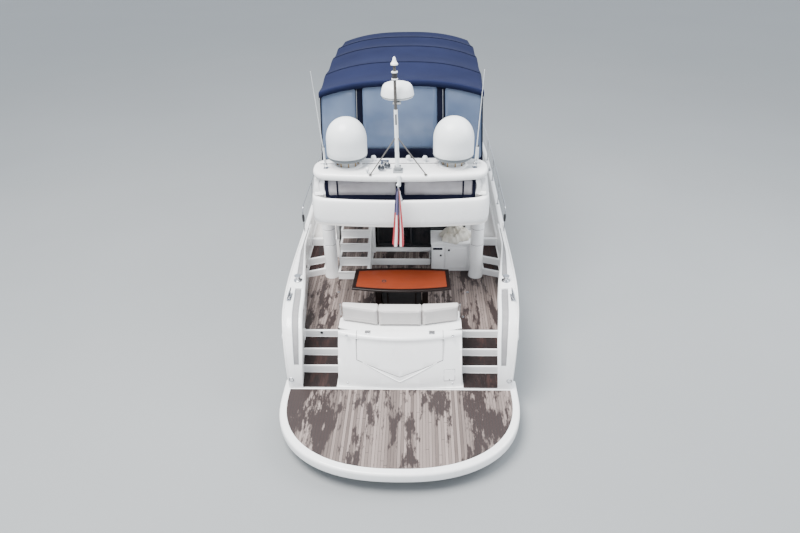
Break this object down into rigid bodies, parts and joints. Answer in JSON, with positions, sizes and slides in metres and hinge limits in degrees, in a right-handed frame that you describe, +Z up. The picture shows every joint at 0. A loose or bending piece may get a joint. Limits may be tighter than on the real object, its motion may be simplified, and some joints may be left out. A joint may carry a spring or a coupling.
{
  "type": "flybridge motor yacht",
  "caption": "Cabin cruiser yacht with bathing platform, cockpit, saloon, canopied flybridge, radar wing with domes, guard rails and twin screws.",
  "frame": {"origin": "on the waterline plane, on the centreline, amidships (5.85 m forward of the transom)", "axes": "+Y to the bow, +X to starboard, +Z up; z = 0 is the waterline"},
  "size_m": [4.85, 17.6, 7.4875],
  "materials": {
    "gelcoat": "gloss white gelcoat",
    "hull_gelcoat": "gloss white gelcoat, dark antifouling below the waterline",
    "teak": "weathered teak planks, matt",
    "cherry": "varnished, high gloss",
    "seat_vinyl": "soft vinyl, satin",
    "steel": "polished stainless tube",
    "bronze": "cast bronze, dull",
    "dark_glass": "dark tinted, polished",
    "canvas": "woven navy canvas",
    "clear_vinyl": "clear soft vinyl, slightly wavy",
    "engine_paint": "satin grey",
    "white_plastic": "smooth, satin",
    "trim_grey": "satin grey",
    "bunting": "thin woven bunting"
  },
  "bodies": {
    "yacht": {"hull": "hull_gelcoat", "deck": "gelcoat", "bulwark_starboard": "gelcoat", "bulwark_port": "gelcoat", "swim_platform": "gelcoat", "cockpit_sole": "teak", "transom_box": "gelcoat", "sofa": "seat_vinyl", "cockpit_table": "cherry", "column_starboard": "gelcoat", "column_port": "gelcoat", "fly_stairs": "gelcoat", "wet_bar": "gelcoat", "aft_bulkhead": "gelcoat", "aft_pane": "dark_glass", "cabin_side_starboard": "gelcoat", "cabin_side_port": "gelcoat", "side_window_starboard": "dark_glass", "side_window_port": "dark_glass", "windscreen": "dark_glass", "fly_deck": "gelcoat", "fly_coaming_aft": "gelcoat", "fly_coaming_front": "gelcoat", "fly_console": "gelcoat", "fly_bench": "seat_vinyl", "fly_settee": "seat_vinyl", "radar_wing": "gelcoat", "wing_curtain": "canvas", "mast": "steel", "radome": "white_plastic", "satellite_dome_starboard": "white_plastic", "satellite_dome_port": "white_plastic", "ensign_staff": "white_plastic", "ensign": "bunting", "canopy_top": "canvas", "canopy_frame": "steel", "enclosure": "clear_vinyl", "side_rail_starboard": "steel", "side_rail_port": "steel", "pulpit": "steel", "sun_pad": "seat_vinyl", "windlass": "steel", "shaft_bracket_starboard": "bronze", "shaft_bracket_port": "bronze", "engine_starboard": "engine_paint", "engine_port": "engine_paint", "saloon_settee": "seat_vinyl", "saloon_helm": "trim_grey"},
    "propeller_starboard": {"propeller_starboard": "bronze"},
    "propeller_port": {"propeller_port": "bronze"},
    "rudder_starboard": {"rudder_starboard": "bronze"},
    "rudder_port": {"rudder_port": "bronze"},
    "transom_hatch": {"transom_hatch": "gelcoat"},
    "saloon_door": {"saloon_door": "dark_glass"},
    "bar_door_narrow": {"bar_door_narrow": "gelcoat"},
    "bar_door_wide": {"bar_door_wide": "gelcoat"},
    "whip_antenna_starboard": {"whip_antenna_starboard": "white_plastic"},
    "whip_antenna_port": {"whip_antenna_port": "white_plastic"},
    "deck_hatch": {"deck_hatch": "dark_glass"}
  },
  "joints": [
    {"name": "shaft_starboard", "type": "hinge", "parent": "yacht", "child": "propeller_starboard", "pos_m": [0.65, -5.05, -0.915], "axis": [0, 0.9806, 0.1961], "continuous": true},
    {"name": "shaft_port", "type": "hinge", "parent": "yacht", "child": "propeller_port", "pos_m": [-0.65, -5.05, -0.915], "axis": [0, 0.9806, 0.1961], "continuous": true},
    {"name": "rudder_stock_starboard", "type": "hinge", "parent": "yacht", "child": "rudder_starboard", "pos_m": [0.65, -5.56, -0.6], "axis": [0, 0, 1], "range_deg": [-35, 35]},
    {"name": "rudder_stock_port", "type": "hinge", "parent": "yacht", "child": "rudder_port", "pos_m": [-0.65, -5.56, -0.6], "axis": [0, 0, 1], "range_deg": [-35, 35]},
    {"name": "transom_hatch_hinge", "type": "hinge", "parent": "yacht", "child": "transom_hatch", "pos_m": [0, -5.29, 1.45], "axis": [-1, 0, 0], "range_deg": [0, 70]},
    {"name": "saloon_door_slide", "type": "slide", "parent": "yacht", "child": "saloon_door", "axis": [1, 0, 0], "range_m": [0, 0.76]},
    {"name": "bar_door_narrow_hinge", "type": "hinge", "parent": "yacht", "child": "bar_door_narrow", "pos_m": [0.675, -2.286, 1.325], "axis": [0, 0, -1], "range_deg": [0, 100]},
    {"name": "bar_door_wide_hinge", "type": "hinge", "parent": "yacht", "child": "bar_door_wide", "pos_m": [1.485, -2.286, 1.325], "axis": [0, 0, 1], "range_deg": [0, 90]},
    {"name": "whip_fold_starboard", "type": "hinge", "parent": "yacht", "child": "whip_antenna_starboard", "pos_m": [1.46, -3.56, 4.19], "axis": [1, 0, 0], "range_deg": [0, 70]},
    {"name": "whip_fold_port", "type": "hinge", "parent": "yacht", "child": "whip_antenna_port", "pos_m": [-1.46, -3.56, 4.19], "axis": [1, 0, 0], "range_deg": [0, 70]},
    {"name": "deck_hatch_hinge", "type": "hinge", "parent": "yacht", "child": "deck_hatch", "pos_m": [0, 6.89, 2.155], "axis": [-1, 0, 0], "range_deg": [0, 75]}
  ],
  "couplings": [
    {"joint": "rudder_stock_starboard", "follows": "rudder_stock_port", "ratio": 1}
  ]
}
